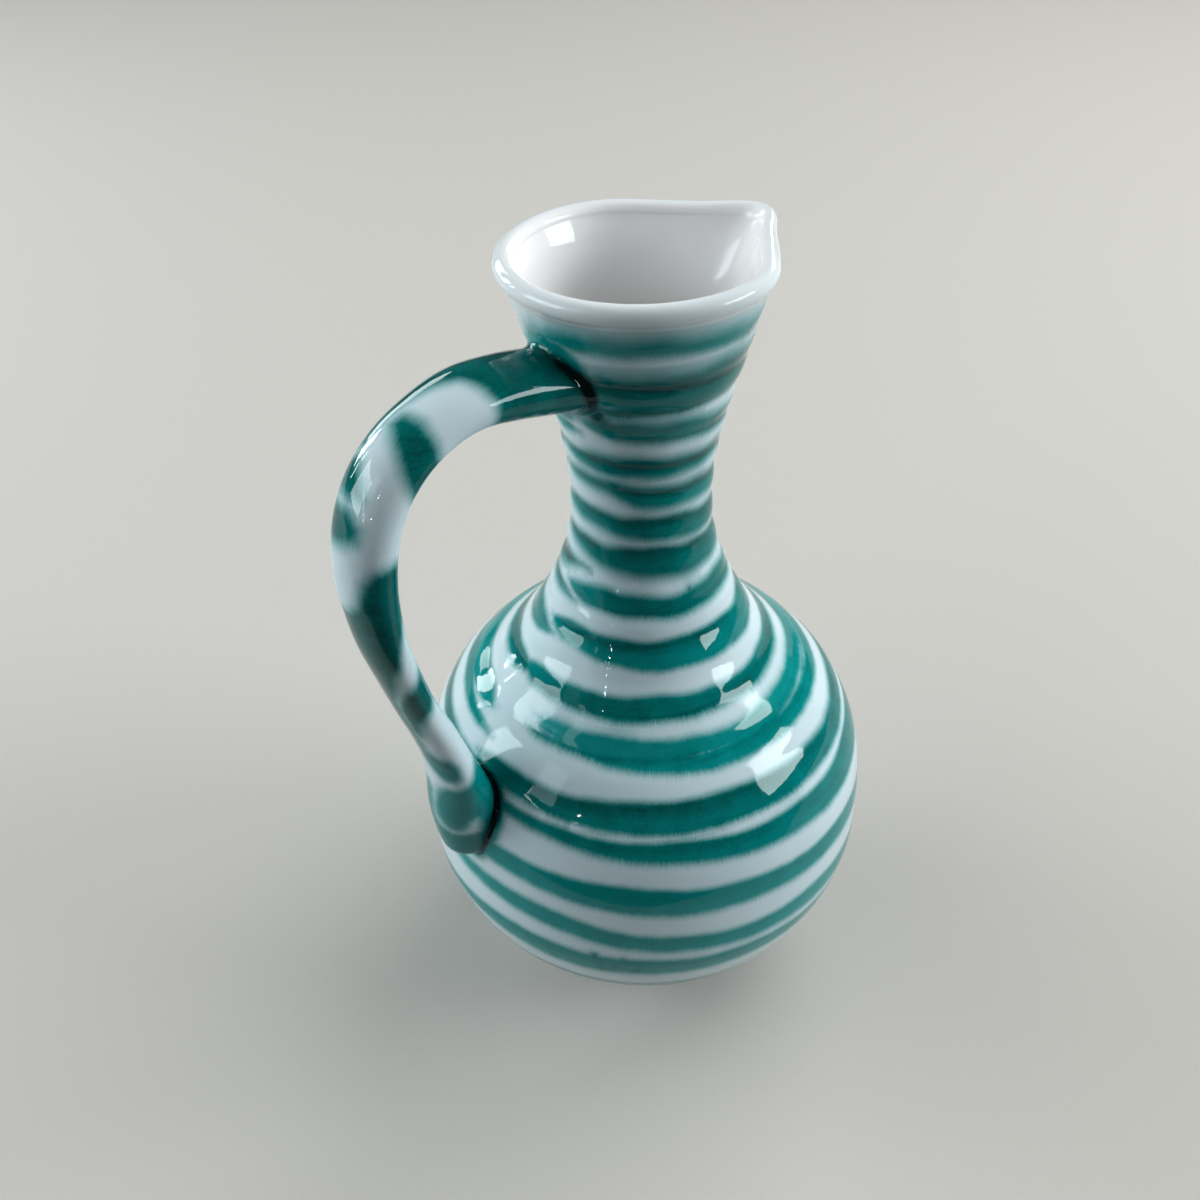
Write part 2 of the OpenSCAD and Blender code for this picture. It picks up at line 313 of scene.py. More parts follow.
def handle_point(t, angle):
    """Point on the handle's skin at route place t and angle: 90 is inside, 180 the camera's side."""
    t = np.asarray(t, float)
    a = np.radians(angle)
    step = 1e-3
    p = along(ROUTE, t)
    d = along(ROUTE, np.minimum(STEPS, t + step)) - along(ROUTE, np.maximum(0, t - step))
    d = d / np.linalg.norm(d, axis=-1, keepdims=True)
    close = np.sqrt(1 - TAIL_CLOSE * np.clip(t - STEPS + 1, 0, 1) ** TAIL_BEND)
    w = HANDLE_WIDTH * along(WIDTHS, t) * close / 2
    h = HANDLE_THICKNESS * along(THICKS, t) * close / 2
    y = w * np.cos(a) + FOOT_ASIDE * smooth((t - ASIDE_START) / ASIDE_RUN)
    n = h * np.sin(a)
    return np.stack([-p[..., 0] - n * d[..., 1], y, p[..., 1] - n * d[..., 0]], -1)


# The handle's mesh: points round its section, and places along its route
SIDES, STATIONS = 96, 300
HANDLE_T = np.linspace(0, STEPS, STATIONS + 1)
HANDLE_A = np.arange(SIDES) * 360.0 / SIDES
HANDLE_GRID = handle_point(np.repeat(HANDLE_T[:, None], SIDES, 1),
                           np.repeat(HANDLE_A[None], STATIONS + 1, 0))


def wall_gap(points):
    """How far points lie outside the wall, level with it."""
    r = np.hypot(points[..., 0], points[..., 1])
    az = np.degrees(np.arctan2(points[..., 1], points[..., 0]))
    z = points[..., 2]
    s = shift_share(z)
    out, up = rim_move(az)
    return r - outer_radius(z - s * up, wrap(az - FRONT)) - s * out


def on_wall(points, sink=0.0):
    """Points moved level on to the wall's surface, or so far inside it."""
    r = np.hypot(points[..., 0], points[..., 1])
    scale = (r - wall_gap(points) - sink) / r
    return np.stack([points[..., 0] * scale, points[..., 1] * scale, points[..., 2]], -1)


def find_feet(order):
    """For each side of the handle, the route place where its skin meets the wall, going along order."""
    gaps = wall_gap(HANDLE_GRID[order])
    feet = np.zeros(SIDES)
    for m in range(SIDES):
        k = int(np.argmax(gaps[:, m] < 0))
        a, b = gaps[k - 1, m], gaps[k, m]
        feet[m] = lerp(HANDLE_T[order[k - 1]], HANDLE_T[order[k]], a / (a - b))
    return feet


def round_loop(values, times):
    """Smooths a closed list."""
    for _ in range(times):
        values = (np.roll(values, 1, axis=0) + 2 * values + np.roll(values, -1, axis=0)) / 4
    return values


def unit(vectors):
    return vectors / np.linalg.norm(vectors, axis=1, keepdims=True)


MIDDLE = STATIONS // 2
TOP_FEET = find_feet(list(range(MIDDLE, -1, -1)))
LOW_FEET = find_feet(list(range(MIDDLE, STATIONS + 1)))
TOP_LOOP = on_wall(handle_point(TOP_FEET, HANDLE_A))
LOW_LOOP = on_wall(handle_point(LOW_FEET, HANDLE_A))
# How long a route step is on average
STATION_MM = float(np.linalg.norm(np.diff(along(ROUTE, HANDLE_T), axis=0), axis=1).sum()) / STEPS
# The slip's skin has this many rows and ends this far inside the wall, in mm
SLIP_ROWS, SLIP_SINK = 12, 0.12
# How often its crease's direction, its spread's direction and its edge on the wall are smoothed
SMOOTH_CREASE, SMOOTH_SPREAD, SMOOTH_EDGE = 4, 6, 3


def joint_patch(feet, loop, toward, climb, spread):
    """The slip round one end of the handle: a skin that leaves it, turns and lies down on the wall."""
    start = handle_point(feet + toward * climb / STATION_MM, HANDLE_A)
    tangent = round_loop(unit(np.roll(loop, -1, axis=0) - np.roll(loop, 1, axis=0)), SMOOTH_CREASE)
    radial = unit(loop * np.array([1, 1, 0.0]))
    normal = unit(radial - np.array([0, 0, 1.0]) * lean(loop[:, 2])[:, None])
    away = unit(np.cross(tangent, normal))
    away *= np.sign(((loop - loop.mean(axis=0)) * away).sum(axis=1).mean())
    away = unit(round_loop(away, SMOOTH_SPREAD))
    end = on_wall(round_loop(loop + away * spread[:, None], SMOOTH_EDGE), SLIP_SINK)
    t = np.linspace(0, 1, SLIP_ROWS)[:, None, None]
    return (1 - t) ** 2 * start + 2 * t * (1 - t) * loop + t ** 2 * end


# How far the slip climbs the handle and spreads on the wall, in mm, by the angle round the handle: the
# upper one is built up on top, and both spread most on the camera's side
TOP_BUILD, LOW_BUILD = 3.4 * bell(HANDLE_A - 268, 45), np.zeros(SIDES)
TOP_CLIMB, LOW_CLIMB = 1.8 + TOP_BUILD, 1.7
TOP_SPREAD = 1.5 + TOP_BUILD + 1.6 * np.cos(np.radians(HANDLE_A - 160)) ** 2
LOW_SPREAD = 1.6 + 0.6 * np.cos(np.radians(HANDLE_A - 180)) ** 2
TOP_PATCH = joint_patch(TOP_FEET, TOP_LOOP, 1, TOP_CLIMB, TOP_SPREAD)
LOW_PATCH = joint_patch(LOW_FEET, LOW_LOOP, -1, LOW_CLIMB, LOW_SPREAD)

# Most strokes go once round the jug. The heights of their edges are given at these front angles, of
# which the last two are the far end, close to a full turn on.
PLACES = np.array([-60.0, -30, 0, 30, 60, 170, 280, 310])
# Between this front angle and the first of them the edges run on as they start
EDGE_FROM = -78
# Front angle of its start and end, tone, feather above and below in mm, upper edge, lower edge
STROKES = [
    (-46, 262, 0.60, 2.4, 1.2,
     (222, 224.2, 223.7, 223, 222.6, 222.4, 222, 222),
     (219, 219.3, 219.4, 218.8, 218.0, 218.4, 219, 219)),
    (-62, -36, 0.58, 1.6, 1.0,
     (219.5, 219, 219, 219, 219, 219, 219, 219),
     (214, 214, 214, 214, 214, 214, 214, 214)),
    (-34, 322, 0.74, 2.4, 0.8,
     (213, 213.6, 214.2, 214.4, 214, 213.4, 213, 213),
     (201, 200.2, 201.4, 201.6, 201.6, 201.6, 201, 201)),
    (-36, 318, 0.70, 1.5, 1.0,
     (200, 199.8, 199.6, 198.6, 196.8, 198, 199.5, 200),
     (194.6, 194.2, 193.2, 192.2, 191.3, 192.4, 194, 194.6)),
    (-69, -44, 0.58, 1.0, 1.0,
     (195.4, 195, 195, 195, 195, 195, 195, 195),
     (191.0, 191.4, 191, 191, 191, 191, 191, 191)),
    (-70, 292, 0.72, 1.3, 1.3,
     (186.8, 188, 187.8, 187.4, 186.3, 187, 187.4, 187),
     (184, 182, 181.5, 181.8, 182, 181.6, 183, 184)),
    (-75, 285, 0.68, 1.6, 1.3,
     (180.2, 180, 179, 178, 177, 178.5, 180.4, 180.2),
     (176.6, 175.8, 172.4, 171.6, 170.6, 172, 175.8, 176.6)),
    (-85, 276, 0.72, 1.2, 1.4,
     (169.2, 169, 168.9, 168.5, 167, 167.5, 169, 169.2),
     (164.9, 163.9, 162.5, 161, 160, 161, 164, 164.9)),
    (-92, 314, 0.74, 1.2, 1.5,
     (158.9, 159.2, 159.5, 159.2, 157.9, 154.5, 150.4, 150.6),
     (155.2, 153.2, 151.5, 150.4, 150.1, 148, 145, 149.6)),
    (-60, 309, 0.70, 1.0, 0.9,
     (146.2, 146.6, 146.0, 145.7, 145.9, 144, 142.2, 140.6),
     (141.6, 140.7, 140.3, 140, 140, 140, 139.2, 139.6)),
    (-64, 302, 0.66, 0.8, 0.8,
     (134.8, 134.8, 134.6, 134.2, 133.7, 132.5, 131, 130.2),
     (130, 129, 127.9, 126.9, 126.2, 125.6, 125.2, 129)),
    (-66, 300, 0.68, 0.8, 0.9,
     (120.4, 121.2, 121.7, 120.7, 120.5, 120, 119.6, 119.8),
     (115.9, 116.3, 116, 116, 115.7, 115, 114.8, 115.9)),
    (-44, 296, 0.50, 1.0, 0.8,
     (113.2, 113.5, 112.8, 112.2, 112, 110.5, 108.6, 108),
     (110.6, 109.6, 109.0, 108.6, 108.2, 106.4, 105.0, 106.0)),
    (-46, 304, 0.62, 0.8, 0.8,
     (110.4, 110.2, 109.8, 109.3, 108.2, 106.4, 104.8, 104),
     (108.6, 108.4, 107.2, 106, 105, 103.2, 101.8, 103)),
    (-57, 312, 0.72, 0.9, 0.8,
     (100.8, 100.8, 101.9, 101, 99.6, 98.8, 97, 97.4),
     (96.8, 96.1, 95.1, 94.4, 93.8, 93.8, 93, 95.6)),
    (-55, 310, 0.66, 0.7, 1.0,
     (94.4, 94.2, 93, 91.4, 90.9, 89.6, 85.5, 83.8),
     (92, 91.1, 88, 85.4, 82.8, 81.6, 80, 81.5)),
    (-52, 312, 0.56, 0.8, 1.1,
     (82, 81.7, 80.3, 77.5, 73.9, 71.4, 69.6, 68.8),
     (76.4, 75.2, 71.4, 70, 67.1, 66.4, 65.2, 65.4)),
    (-60, 312, 0.51, 1.0, 1.2,
     (68.6, 68.3, 63.6, 60.1, 58.7, 56, 53.8, 53),
     (65.6, 62, 57.3, 54, 51.6, 49.4, 48.6, 50)),
    (-62, 312, 0.51, 1.0, 1.3,
     (53, 54.3, 52.6, 50.2, 48.8, 42.6, 37.4, 36.4),
     (49.8, 46, 44.6, 43.7, 43, 36.5, 32, 33.4)),
    (-60, 310, 0.56, 1.2, 1.2,
     (36.6, 36.8, 35, 33.6, 32.4, 28, 24.6, 24),
     (32.4, 31, 29, 27.8, 26.8, 22.6, 19.6, 21)),
]


# A value that stands for no paint near, and tone and feather where there is none
NO_PAINT, PLAIN_TONE, PLAIN_FEATHER = -9.0, 0.6, 0.8
# How much thinner the paint is at a stroke's start, and over how many mm it fills up
START_THIN, START_RUN = 0.16, 9.0
# Degrees to look past a stroke's ends, mm over which they narrow, and how blunt they are
END_MARGIN, END_TAPER, END_BLUNT = 8, 7.0, 0.6
# How a stroke's edges wander: size in mm, waves in a turn, what each stroke adds, and the lower edge's
# share of it
WANDERS = ((0.35, 5, 1.7), (0.22, 11, 2.9))
WANDER_BELOW = 0.6
# Over how many mm a stroke's upper half turns into its lower half
HALF_WIDTH = 3


def stroke_edge(values, x):
    """The height of a stroke's edge at front angle x."""
    values = np.asarray(values, float)
    return curve(np.clip(x, EDGE_FROM, PLACES[-1]), PLACES, values, np.gradient(values, PLACES))


def paint_wall(front, z):
    """Signed distance into the paint in mm, how near the lower edge is, the stroke's tone and feather."""
    slant = np.sqrt(1 + lean(z) ** 2)
    best = np.full(z.shape, NO_PAINT)
    below = np.zeros(z.shape)
    tone = np.full(z.shape, PLAIN_TONE)
    feather = np.full(z.shape, PLAIN_FEATHER)
    degree_mm = np.radians(1) * plain_radius(z)
    for index, (start, end, stroke_tone, soft_up, soft_down, upper, lower) in enumerate(STROKES):
        for turn in (-360, 0, 360):
            x = front + turn
            near = (x > start - END_MARGIN) & (x < end + END_MARGIN)
            if not near.any():
                continue
            xc = np.clip(x, start, end)
            top, bottom = stroke_edge(upper, xc), stroke_edge(lower, xc)
            run = np.minimum(x - start, end - x) * degree_mm
            taper = np.sqrt(np.clip(run / END_TAPER, 0, 1))
            middle, half = (top + bottom) / 2, (top - bottom) / 2 * taper
            wander = sum(size * np.sin(np.radians(x) * waves + index * more)
                         for size, waves, more in WANDERS)
            to_top = (middle + half - z) * slant + wander
            to_bottom = (z - middle + half) * slant - WANDER_BELOW * wander
            d = np.minimum(np.minimum(to_top, to_bottom), run * END_BLUNT)
            d = np.where(near, d, NO_PAINT)
            new = d > best
            best = np.where(new, d, best)
            b = smooth(0.5 + (to_top - to_bottom) / HALF_WIDTH)
            below = np.where(new, b, below)
            thin = START_THIN * np.exp(-np.clip(x - start, 0, 90) * degree_mm / START_RUN)
            tone = np.where(new, stroke_tone - thin, tone)
            feather = np.where(new, lerp(soft_up, soft_down, b), feather)
    return best, below, tone, feather


# The dabs on the handle, as outlines of route place and angle round its section
DABS = [
    [(-0.5, 60), (2.6, 75), (2.85, 120), (2.85, 200), (3.0, 235), (3.2, 262), (3.7, 280), (4.3, 292),
     (5.3, 300), (5.6, 320), (5.0, 350), (4.2, 370), (2.6, 385), (-0.5, 400)],
    [(4.75, 112), (5.6, 118), (5.7, 160), (5.45, 195), (5.2, 225), (4.95, 255), (4.75, 276), (4.5, 272),
     (4.4, 240), (4.5, 205), (4.65, 165)],
    [(5.55, 292), (5.9, 262), (6.1, 252), (6.22, 268), (6.25, 300), (6.15, 340), (5.8, 348), (5.6, 325)],
    [(6.42, 262), (6.62, 240), (6.85, 240), (7.02, 262), (7.12, 292), (6.95, 325), (6.6, 330),
     (6.4, 300)],
    [(7.3, 128), (8.6, 122), (9.1, 150), (9.6, 175), (10.1, 192), (10.4, 212), (10.9, 232), (11.4, 248),
     (12.2, 246), (12.9, 250), (13.2, 262), (12.8, 285), (11.4, 310), (10, 322), (9, 312), (8.7, 285),
     (8.6, 262), (8.3, 240), (7.7, 225), (7.4, 205), (7.28, 165)],
    [(10.65, 95), (11.4, 95), (11.6, 150), (11.75, 190), (11.95, 215), (12.4, 236), (12.3, 250),
     (11.5, 246), (11.15, 225), (10.95, 195), (10.75, 150)],
    [(12.9, 264), (13.0, 246), (13.2, 228), (13.3, 207), (13.6, 196), (13.95, 200), (14.12, 215),
     (14.1, 238), (13.85, 258), (13.4, 274)],
    [(8.0, 25), (9.4, 20), (9.9, 45), (9.6, 75), (8.4, 78), (7.9, 55)],
    [(12.6, 20), (13.6, 10), (14.0, 40), (13.4, 70), (12.7, 60)],
    [(6.3, 5), (7.0, -8), (7.3, 15), (6.9, 40), (6.4, 35)],
    [(14.2, 60), (14.0, 120), (14.05, 150), (14.25, 170), (14.42, 190), (14.52, 215), (14.52, 240),
     (14.7, 256), (15.0, 264), (15.5, 267), (15.9, 266), (16.25, 256), (16.4, 240), (16.42, 222),
     (16.25, 213), (15.95, 203), (15.9, 192), (16.3, 186), (17.0, 188), (18.5, 190), (18.5, -30),
     (14.5, -30)],
    [(16.8, 150), (16.75, 180), (16.66, 200), (16.62, 215), (16.58, 240), (16.4, 262), (16.1, 272),
     (15.6, 277), (15.0, 279), (14.7, 288), (15.0, 330), (16.0, 340), (18.5, 345), (18.5, 150)],
]
# About how many mm a route step and a degree round the section are
STEP_MM, TURN_MM = 10.3, 0.138
# A distance for nothing near, and the least length to divide by
FAR, TINY = 1e9, 1e-9


def polygon_distance(x, y, polygon):
    """Signed distance in mm to a closed outline, above 0 inside."""
    pts = np.array(polygon, float) * np.array([STEP_MM, TURN_MM])
    a, b = pts, np.roll(pts, -1, axis=0)
    best = np.full(x.shape, FAR)
    inside = np.zeros(x.shape, bool)
    for (ax, ay), (bx, by) in zip(a, b):
        ex, ey = bx - ax, by - ay
        px, py = x - ax, y - ay
        t = np.clip((px * ex + py * ey) / max(ex * ex + ey * ey, TINY), 0, 1)
        best = np.minimum(best, np.hypot(px - t * ex, py - t * ey))
        rise = ey if abs(ey) > TINY else TINY
        inside ^= ((ay > y) != (by > y)) & (x < ex * (y - ay) / rise + ax)
    return np.where(inside, best, -best)


def paint_handle(t, angle):
    """Signed distance into the nearest dab in mm."""
    best = np.full(t.shape, NO_PAINT)
    for dab in DABS:
        for turn in (-360, 0, 360):
            best = np.maximum(best, polygon_distance(t * STEP_MM, (angle + turn) * TURN_MM, dab))
    return best


def loop_distance(points, loop):
    """Distance in mm from points to a closed loop of points, and the nearest loop point."""
    flat = points.reshape(-1, 3)
    best = np.full(len(flat), FAR)
    near = np.zeros(len(flat), int)
    for i, q in enumerate(loop):
        d = ((flat - q) ** 2).sum(-1)
        closer = d < best
        best[closer] = d[closer]
        near[closer] = i
    return np.sqrt(best).reshape(points.shape[:-1]), near.reshape(points.shape[:-1])


# How wide the dark pool is along each crease in mm, by the angle round the handle's section. The pool is
# glaze gathered in the crease and painted shade of the crease
POOL_ANGLES = [0, 60, 120, 160, 200, 240, 270, 300, 360]
TOP_POOL_AND_SHADE = [0.35, 0.35, 0.4, 1.1, 1.6, 1.7, 1.6, 0.8, 0.4]
LOW_POOL_AND_SHADE = [0.7, 1.3, 1.7, 1.6, 0.6, 0.4, 0.35, 0.35, 0.6]
# From what width on a pool is fully dark and the green round it fully wide, the least share of that,
# and how wide in mm it is at the upper and the lower joint
POOL_FULL, STAIN_FULL, STAIN_LEAST = 0.9, 1.2, 0.15
TOP_STAIN, LOW_STAIN = 3.0, 3.2


def pool_and_shade_at(points):
    """How dark the pool in a joint's crease is, gathered glaze and painted shade, from 0 to 1, and
    distance into the green round it.
    """
    pool_and_shade = np.zeros(points.shape[:-1])
    stain = np.full(points.shape[:-1], NO_PAINT)
    for loop, widths, reach, build in ((TOP_LOOP, TOP_POOL_AND_SHADE, TOP_STAIN, TOP_BUILD),
                                       (LOW_LOOP, LOW_POOL_AND_SHADE, LOW_STAIN, LOW_BUILD)):
        d, near = loop_distance(points, loop)
        width = np.interp(HANDLE_A[near], POOL_ANGLES, widths)
        # the crease's pool: glaze gathered there and painted shade
        pool_and_shade = np.maximum(pool_and_shade, np.exp(-(d / width) ** 2) * np.clip(width / POOL_FULL, 0, 1))
        share = np.clip(width / STAIN_FULL, STAIN_LEAST, 1)
        stain = np.maximum(stain, share * reach + build[near] - d)
    return pool_and_shade, stain


# Small dark drops and smears of paint on the wall: front angle, height, size in mm, strength
FLECKS = [
    (-12.2, 53.2, 1.2, 0.42), (-10.6, 46.2, 1.1, 0.34), (-11.2, 48.8, 0.9, 0.28), (-7.6, 48.4, 0.8, 0.34),
    (-2.0, 46.4, 1.3, 0.40), (-1.4, 48.4, 0.8, 0.28), (-4.8, 52.6, 0.8, 0.34), (35.2, 145.8, 0.7, 0.30),
    (-27.5, 203.0, 2.0, 0.45), (-25.0, 200.2, 2.4, 0.42), (-21.0, 198.6, 2.0, 0.30),
]


def new_piece(name, verts, faces, normals, values):
    """A smooth mesh object in metres with its own normals and paint values."""
    mesh = bpy.data.meshes.new(name)
    verts = np.asarray(verts, float) * MM
    loops = np.concatenate([np.asarray(f, np.int32).reshape(-1) for f in faces])
    counts = np.concatenate([np.full(len(f), np.asarray(f).shape[1], np.int32) for f in faces])
    mesh.vertices.add(len(verts))
    mesh.vertices.foreach_set("co", verts.astype(np.float32).reshape(-1))
    mesh.loops.add(len(loops))
    mesh.loops.foreach_set("vertex_index", loops)
    mesh.polygons.add(len(counts))
    starts = np.concatenate([[0], np.cumsum(counts)[:-1]]).astype(np.int32)
    mesh.polygons.foreach_set("loop_start", starts)
    mesh.polygons.foreach_set("loop_total", counts)
    mesh.update(calc_edges=True)
    mesh.validate(clean_customdata=False)
    mesh.polygons.foreach_set("use_smooth", np.ones(len(mesh.polygons), bool))
    for key, v in values.items():
        layer = mesh.attributes.new(key, "FLOAT", "POINT")
        layer.data.foreach_set("value", np.asarray(v, np.float32).reshape(-1))
    if normals is not None:
        mesh.normals_split_custom_set_from_vertices(np.asarray(normals, float).reshape(-1, 3).tolist())
    obj = bpy.data.objects.new(name, mesh)
    bpy.context.scene.collection.objects.link(obj)
    return obj


def ring_faces(first, second, n):
    """Squares between two rings of n vertices that start at these indices."""
    i = np.arange(n)
    j = (i + 1) % n
    return np.stack([first + i, first + j, second + j, second + i], -1)


def grid_faces(rows, n):
    """Squares between the rows of a grid of points whose columns close round."""
    return np.concatenate([ring_faces(k * n, (k + 1) * n, n) for k in range(rows - 1)])


WALL_Z = np.repeat(LEVELS[:, None], COLUMNS, 1)
FRONT_GRID = np.repeat(WALL_FRONT[None], len(LEVELS), 0)
# The height where each sets in and over how many mm it grows: paint gathers in the grooves and is darker
# there, partly as painted shade in them; the white outside turns a little to the inner white; and the
# painted shade deep inside gives way
GATHER_FROM, GATHER_RUN = 75, 40
TINT_FROM, TINT_RUN, RIM_TINT = 223, 4, 0.3
DEEP_FROM, DEEP_RUN = 190, 30
# The bead's first share of the inner white, and over what part of its turn this grows to the whole
BEAD_TINT, BEAD_FROM, BEAD_RUN = 0.5, 0.55, 0.2


def wall_values():
    """What the glaze has to know at each point of the wall."""
    outer, bead, within = KINDS == OUTSIDE, KINDS == BEAD, KINDS == INSIDE
    shape = WALL_Z.shape
    paint, below = np.full(shape, NO_PAINT), np.zeros(shape)
    tone, feather = np.full(shape, PLAIN_TONE), np.full(shape, PLAIN_FEATHER)
    got = paint_wall(FRONT_GRID[outer], WALL_Z[outer])
    paint[outer], below[outer], tone[outer], feather[outer] = got
    # darker paint in the grooves: glaze gathered there, and partly painted shade in them
    _, dip = grooves(WALL_Z, FRONT_GRID)
    dip = dip ** 3 * smooth((WALL_Z - GATHER_FROM) / GATHER_RUN) * outer[:, None]
    # dark pools at the handle's joints, gathered glaze and painted shade, and the green round them
    pool_and_shade, stain = np.zeros(shape), np.full(shape, NO_PAINT)
    pool_and_shade[outer], stain[outer] = pool_and_shade_at(WALL[outer])
    for front, level, size, strength in FLECKS:
        run = wrap(FRONT_GRID - front) * np.radians(1) * plain_radius(level)
        away = np.hypot(run, (WALL_Z - level) * math.sqrt(1 + float(lean(level)) ** 2))
        pool_and_shade = np.maximum(pool_and_shade, strength * np.exp(-(away / size) ** 2) * outer[:, None])
        stain = np.maximum(stain, np.where(outer[:, None], size - away, NO_PAINT))
    inside = np.where(outer[:, None], RIM_TINT * smooth((WALL_Z - TINT_FROM) / TINT_RUN), 1.0)
    over = np.cumsum(bead) / np.sum(bead)
    tint = lerp(BEAD_TINT, 1, smooth((over - BEAD_FROM) / BEAD_RUN))
    inside = np.where(bead[:, None], tint[:, None], inside)
    # painted shade: the inner white turns grey towards the bottom inside
    deep_shade = within[:, None] * (1 - smooth((WALL_Z - DEEP_FROM) / DEEP_RUN))
    return {"paint": np.maximum(paint, stain), "below": below, "tone": tone, "feather": feather,
            "dip": dip, "pool_and_shade": pool_and_shade, "inside": inside, "deep_shade": deep_shade}


WALL_VALUES = wall_values()
# How far the floor's middle lies above its last row, and how high the underside rises at this share of
# its radius and in its middle
MIDDLE_RISE = 0.02
UNDER_SHARE, UNDER_RISE, UNDER_MIDDLE = 0.6, 0.6, 0.8


def wall_piece(name, low, high):
    """The wall between two heights as a closed piece, cut from the whole so that its shading runs on."""
    rows = [i for i in range(len(LEVELS)) if low <= LEVELS[i] <= high]
    verts = WALL[rows].reshape(-1, 3)
    normals = WALL_NORMALS[rows].reshape(-1, 3)
    values = {k: v[rows].reshape(-1) for k, v in WALL_VALUES.items()}
    n = COLUMNS
    faces = [grid_faces(len(rows), n)]
    if low <= FOOT_HEIGHT:
        # the inside's middle, and the underside inside the foot ring
        centre_in = len(verts)
        z_in = WALL[rows[-1], 0, 2] + MIDDLE_RISE
        under = WALL[rows[0]] * (UNDER_SHARE, UNDER_SHARE, 0) + (0, 0, FOOT_HEIGHT + UNDER_RISE)
        verts = np.concatenate([verts, [[0, 0, z_in]], under, [[0, 0, FOOT_HEIGHT + UNDER_MIDDLE]]])
        normals = np.concatenate([normals, [[0, 0, 1]], np.tile([0, 0, -1.0], (n + 1, 1))])
        i = np.arange(n)
        last = (len(rows) - 1) * n
        faces.append(np.stack([last + i, last + (i + 1) % n, np.full(n, centre_in)], -1))
        first_under = centre_in + 1
        faces.append(ring_faces(first_under, 0, n))
        faces.append(np.stack([first_under + (i + 1) % n, first_under + i,
                               np.full(n, first_under + n)], -1))
        for key in values:
            blank = {"paint": NO_PAINT, "feather": PLAIN_FEATHER}.get(key, 0.0)
            values[key] = np.concatenate([values[key], np.full(n + 2, blank)])
    else:
        faces.append(ring_faces((len(rows) - 1) * n, 0, n))
    return new_piece(name, verts, faces, normals, values)


# The neck and the mouth part at the row of the wall next to MOUTH_LEVEL
MOUTH_ROW = 196.0
belly = wall_piece("thrown_belly", FOOT_HEIGHT, COLLAR_LEVEL)
neck = wall_piece("thrown_neck", COLLAR_LEVEL, MOUTH_ROW)
mouth = wall_piece("mouth_and_pinched_spout", MOUTH_ROW, JUG_HEIGHT)


# The strap between its two slip patches: the route place of each point of its skin
STRAP_ROWS = 231
STRAP_T = lerp(TOP_FEET + TOP_CLIMB / STATION_MM, LOW_FEET - LOW_CLIMB / STATION_MM,
               np.linspace(0, 1, STRAP_ROWS)[:, None])
# Both patches and the strap as one grid, for one run of normals, and where the strap lies in it
HANDLE_ALL = np.concatenate([
    TOP_PATCH[:0:-1], handle_point(STRAP_T, np.repeat(HANDLE_A[None], STRAP_ROWS, 0)), LOW_PATCH[1:]])
HANDLE_NORMALS = grid_normals(HANDLE_ALL)
STRAP_FIRST, STRAP_LAST = SLIP_ROWS - 1, SLIP_ROWS + STRAP_ROWS - 2
# The handle's paint: how near it counts to a lower edge, its feather and tone, by how much it thins,
# from which route place on and over how many steps, and over how many mm the joint's tone gives way
HANDLE_BELOW, HANDLE_FEATHER, HANDLE_TONE = 0.45, 1.25, 0.82
THIN_BY, THIN_START, THIN_RUN = 0.2, 11, 3
JOINT_TONE_RUN = 2.0


def handle_values(points, t, angle):
    """What the glaze has to know at each of these points of the handle and its joints."""
    paint = paint_handle(t, angle)
    # the pools in the creases: gathered glaze and painted shade
    pool_and_shade, stain = pool_and_shade_at(points)
    strap_tone = HANDLE_TONE - THIN_BY * smooth((t - THIN_START) / THIN_RUN)
    tone = lerp(PLAIN_TONE, strap_tone, smooth(wall_gap(points) / JOINT_TONE_RUN))
    none = np.zeros(t.shape)
    return {"paint": np.maximum(paint, stain), "below": none + HANDLE_BELOW, "tone": tone,
            "feather": none + HANDLE_FEATHER, "dip": none, "pool_and_shade": pool_and_shade, "inside": none, "deep_shade": none}


def handle_part(name, first, last, place):
    """Rows first ... last of the whole handle at these route places, closed at both ends by a cap."""
    grid, normals = HANDLE_ALL[first:last + 1], HANDLE_NORMALS[first:last + 1]
    rows = len(grid)
    t = np.broadcast_to(place, grid.shape[:2])
    values = handle_values(grid, t, np.broadcast_to(HANDLE_A, t.shape))
    verts, norms = grid.reshape(-1, 3), normals.reshape(-1, 3)
    vals = {k: v.reshape(-1) for k, v in values.items()}
    faces = [grid_faces(rows, SIDES)]
    i = np.arange(SIDES)
    for at, flip in ((0, False), (rows - 1, True)):
        index = len(verts)
        verts = np.concatenate([verts, [grid[at].mean(axis=0)]])
        norms = np.concatenate([norms, [[0, 0, 1.0]]])
        for key in vals:
            vals[key] = np.concatenate([vals[key], [vals[key][at * SIDES]]])
        tri = np.stack([at * SIDES + i, at * SIDES + (i + 1) % SIDES, np.full(SIDES, index)], -1)
        faces.append(tri if flip else tri[:, ::-1])
    return new_piece(name, verts, faces, norms, vals)


strap = handle_part("pulled_handle", STRAP_FIRST, STRAP_LAST, STRAP_T)
top_slip = handle_part("upper_slip", 0, STRAP_FIRST, TOP_FEET)
low_slip = handle_part("lower_slip", STRAP_LAST, len(HANDLE_ALL) - 1, LOW_FEET)
# The foot ring's mesh: points round it, and in what shares each stretch of its section is divided
RING_COLUMNS, RING_SHARES = 180, (0, 0.34, 0.67)


